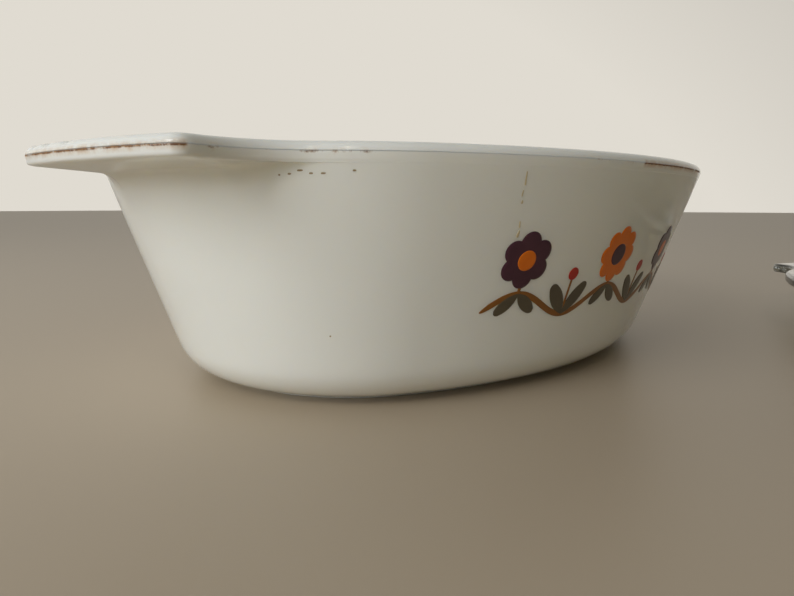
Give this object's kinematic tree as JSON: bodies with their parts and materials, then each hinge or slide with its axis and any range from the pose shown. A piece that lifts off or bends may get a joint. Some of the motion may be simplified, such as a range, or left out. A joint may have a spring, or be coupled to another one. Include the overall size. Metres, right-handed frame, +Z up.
{
  "type": "covered casserole dish",
  "caption": "Oval white opal-glass casserole dish with two tab handles and a floral frieze, and its clear glass cover lying upside down beside it.",
  "frame": {"origin": "middle of the dish's foot, on the surface it stands on", "axes": "+X along the oval towards one tab handle, +Z up; the cover lies off towards -Y"},
  "size_m": [0.3652, 0.4485, 0.067],
  "materials": {
    "opal_glass": "pressed white opal glass, fire-polished, gloss",
    "clear_glass": "pressed clear borosilicate glass, gloss"
  },
  "bodies": {
    "dish": {"dish": "opal_glass"},
    "cover": {"cover": "clear_glass"}
  },
  "joints": [
    {"name": "cover_turn", "type": "hinge", "parent": "dish", "child": "cover", "pos_m": [0.04701, -0.11636, 0.04465], "axis": [-0.9272, -0.3746, 0], "range_deg": [0, 180]}
  ]
}
